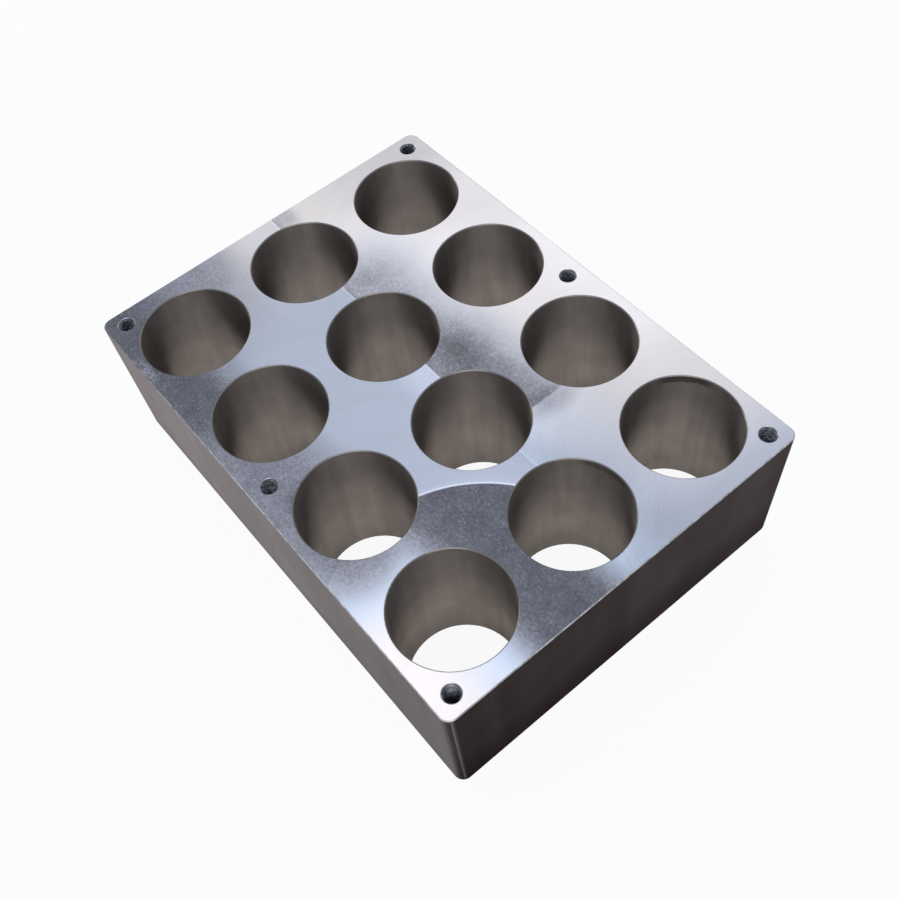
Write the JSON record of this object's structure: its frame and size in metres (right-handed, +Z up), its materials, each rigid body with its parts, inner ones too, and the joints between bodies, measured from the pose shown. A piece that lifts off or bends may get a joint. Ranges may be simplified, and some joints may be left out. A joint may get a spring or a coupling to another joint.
{
  "type": "bored aluminium block",
  "caption": "Rectangular machined aluminium block with a grid of through bores that hold round cells or tubes, and tapped holes round the rim of its top face.",
  "frame": {"origin": "centre of the underside, in the plane of the face the block stands on", "axes": "+X along the long sides, +Y along the short sides, +Z up along the bores towards the face with the tapped holes"},
  "size_m": [0.165, 0.12, 0.048],
  "materials": {
    "aluminium": "face-milled top, satin sides and bores"
  },
  "bodies": {
    "root": {"bored_block": "aluminium"}
  },
  "joints": []
}
